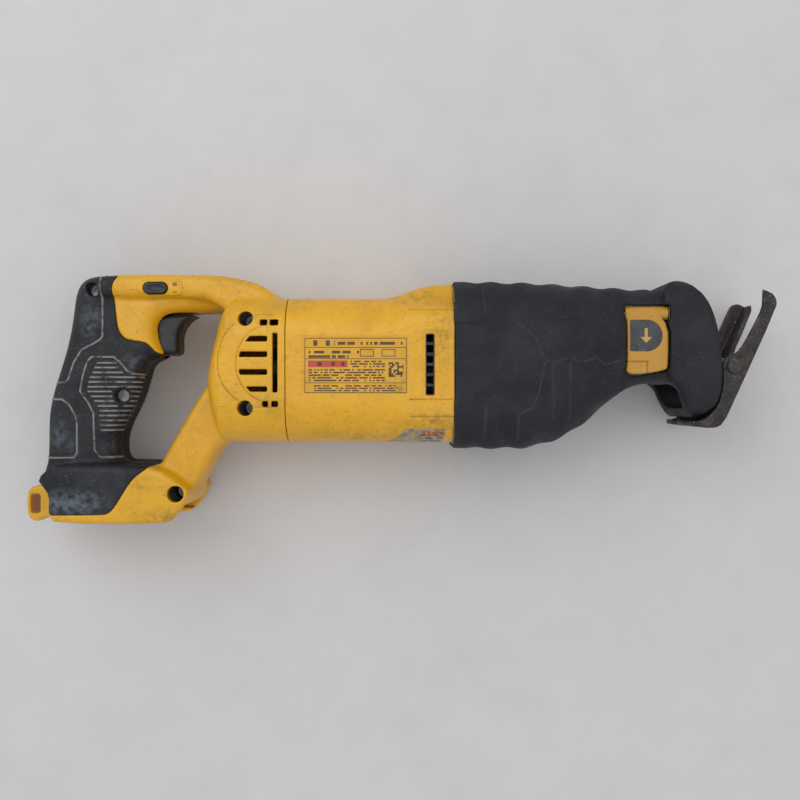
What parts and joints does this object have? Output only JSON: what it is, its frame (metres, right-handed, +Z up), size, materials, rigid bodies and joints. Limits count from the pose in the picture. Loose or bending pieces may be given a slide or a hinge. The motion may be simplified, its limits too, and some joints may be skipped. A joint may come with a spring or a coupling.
{
  "type": "reciprocating saw",
  "caption": "Cordless reciprocating saw with D-handle, rubber-booted nose, pivoting shoe and tool-free blade clamp, lying on its side.",
  "frame": {"origin": "centre of the footprint's bounding box, at the floor the tool lies on", "axes": "+X towards the nose and shoe, +Y towards the top of the tool, +Z up, out of its right side"},
  "size_m": [0.4494, 0.149, 0.084],
  "materials": {
    "yellow_plastic": "moulded, satin, scuffed",
    "black_rubber": "matt, worn grey at the edges",
    "black_plastic": "matt moulded",
    "ochre_plastic": "moulded, satin",
    "blackened_steel": "blackened, worn to steel and rust",
    "bright_steel": "ground",
    "zinc_steel": "zinc plated",
    "black_screw": "black oxide",
    "cast_alloy": "die cast",
    "gasket_fibre": "pressed fibre",
    "copper": "enamelled copper",
    "brass": "plain",
    "bronze": "sintered",
    "carbon": "pressed carbon",
    "ferrite": "sintered",
    "red_sleeve": "lead sleeve",
    "black_sleeve": "lead sleeve",
    "label_film": "printed film",
    "sticker_film": "torn film",
    "badge_film": "printed badge",
    "seal_rubber": "moulded",
    "fan_nylon": "glass filled nylon"
  },
  "bodies": {
    "tool_body": {"handle_shell_right": "yellow_plastic", "handle_shell_left": "yellow_plastic", "grip_overmould_right": "black_rubber", "grip_overmould_left": "black_rubber", "handle_screws": "black_screw", "tether_loop": "yellow_plastic", "switch_module": "black_plastic", "terminal_block": "black_plastic", "battery_contacts": "copper", "supply_leads": "red_sleeve", "motor_leads": "black_sleeve", "motor_housing": "yellow_plastic", "rating_label": "label_film", "warning_sticker": "sticker_film", "exhaust_louvres": "black_plastic", "motor_can": "zinc_steel", "field_magnets": "ferrite", "front_end_bell": "cast_alloy", "rear_end_bell": "black_plastic", "front_motor_bearing": "bright_steel", "rear_motor_bearing": "bright_steel", "brush_holders": "brass", "carbon_brushes": "carbon", "brush_springs": "bright_steel", "gear_case_right": "cast_alloy", "gear_case_left": "cast_alloy", "gear_case_gasket": "gasket_fibre", "gear_case_screws": "zinc_steel", "nose_boot": "black_rubber", "gear_bearings": "bright_steel", "rear_plunger_bushing": "bronze", "front_plunger_bushing": "bronze", "plunger_seal": "seal_rubber", "lever_pin": "bright_steel", "lever_spring": "bright_steel", "shoe_pivot_pin": "blackened_steel"},
    "trigger_body": {"trigger": "black_plastic"},
    "lock_button_body": {"lock_off_button": "black_plastic"},
    "armature": {"armature_shaft": "bright_steel", "armature_core": "zinc_steel", "armature_windings": "copper", "commutator": "copper", "cooling_fan": "fan_nylon", "motor_pinion": "bright_steel"},
    "crank_gear": {"drive_gear": "bright_steel", "crank_pin": "bright_steel", "crank_roller": "bright_steel"},
    "plunger_body": {"plunger": "bright_steel", "blade_clamp_body": "zinc_steel", "clamp_lock_pin": "bright_steel", "clamp_snap_ring": "bright_steel"},
    "clamp_collar_body": {"clamp_collar": "black_screw"},
    "lever_body": {"release_lever": "ochre_plastic", "lever_label": "badge_film"},
    "shoe_body": {"shoe": "blackened_steel"}
  },
  "joints": [
    {"name": "trigger_pull", "type": "slide", "parent": "tool_body", "child": "trigger_body", "axis": [-1, 0, 0], "range_m": [0, 0.007], "stiffness_N_per_m": 400, "springref_m": -0.005},
    {"name": "lock_button_push", "type": "slide", "parent": "tool_body", "child": "lock_button_body", "axis": [0, 0, -1], "range_m": [0, 0.003]},
    {"name": "gear_spin", "type": "hinge", "parent": "tool_body", "child": "crank_gear", "pos_m": [0.08125, 0.0175, 0.03], "axis": [0, 0, 1], "continuous": true},
    {"name": "motor_spin", "type": "hinge", "parent": "tool_body", "child": "armature", "pos_m": [0.00325, 0.0175, 0.042], "axis": [1, 0, 0], "continuous": true},
    {"name": "plunger_stroke", "type": "slide", "parent": "tool_body", "child": "plunger_body", "axis": [1, 0, 0], "range_m": [-0.0143, 0.0143]},
    {"name": "blade_lever_lift", "type": "hinge", "parent": "tool_body", "child": "lever_body", "pos_m": [0.14825, 0.0505, 0.069], "axis": [-1, 0, 0], "range_deg": [0, 70], "stiffness_Nm_per_rad": 0.02, "springref_deg": -28.65},
    {"name": "clamp_collar_turn", "type": "hinge", "parent": "plunger_body", "child": "clamp_collar_body", "pos_m": [0.17525, 0.0375, 0.042], "axis": [1, 0, 0], "range_deg": [0, 43]},
    {"name": "shoe_tilt", "type": "hinge", "parent": "tool_body", "child": "shoe_body", "pos_m": [0.19975, 0.0195, 0.042], "axis": [0, 0, 1], "range_deg": [0, 28]}
  ],
  "couplings": [
    {"joint": "motor_spin", "follows": "gear_spin", "ratio": -4.5},
    {"joint": "clamp_collar_turn", "follows": "blade_lever_lift", "ratio": 0.6}
  ]
}
